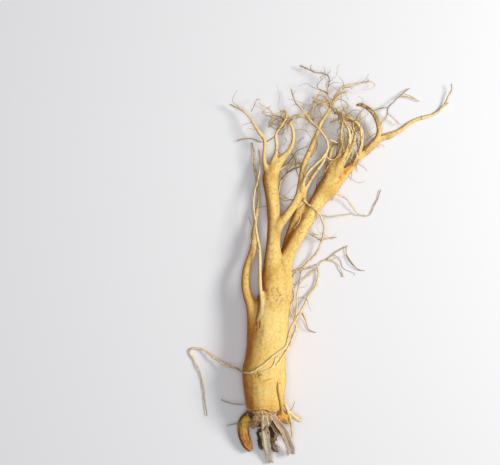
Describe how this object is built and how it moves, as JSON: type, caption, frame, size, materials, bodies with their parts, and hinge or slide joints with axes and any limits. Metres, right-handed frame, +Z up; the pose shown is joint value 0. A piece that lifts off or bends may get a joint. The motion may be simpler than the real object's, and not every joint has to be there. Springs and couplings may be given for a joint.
{
  "type": "ginseng root",
  "caption": "Fresh ginseng root lying on its side: a thick smooth body that forks into long legs with fine tangled rootlets, and a knobbly neck with split dry stem stubs.",
  "frame": {"origin": "the middle of the small flat spot under the body, on the surface that the root lies on", "axes": "+Y from the neck to the root tips, +X to the right seen from above, +Z up from the surface"},
  "size_m": [0.1857, 0.2816, 0.0302],
  "materials": {
    "root_skin": "thin, slightly waxy fresh root skin, pale yellow with brown specks",
    "dry_stem": "dry, matt, grey-brown plant fibre"
  },
  "bodies": {
    "root": {"root": "root_skin", "dry_stem_middle": "dry_stem", "dry_stem_right": "dry_stem"}
  },
  "joints": []
}
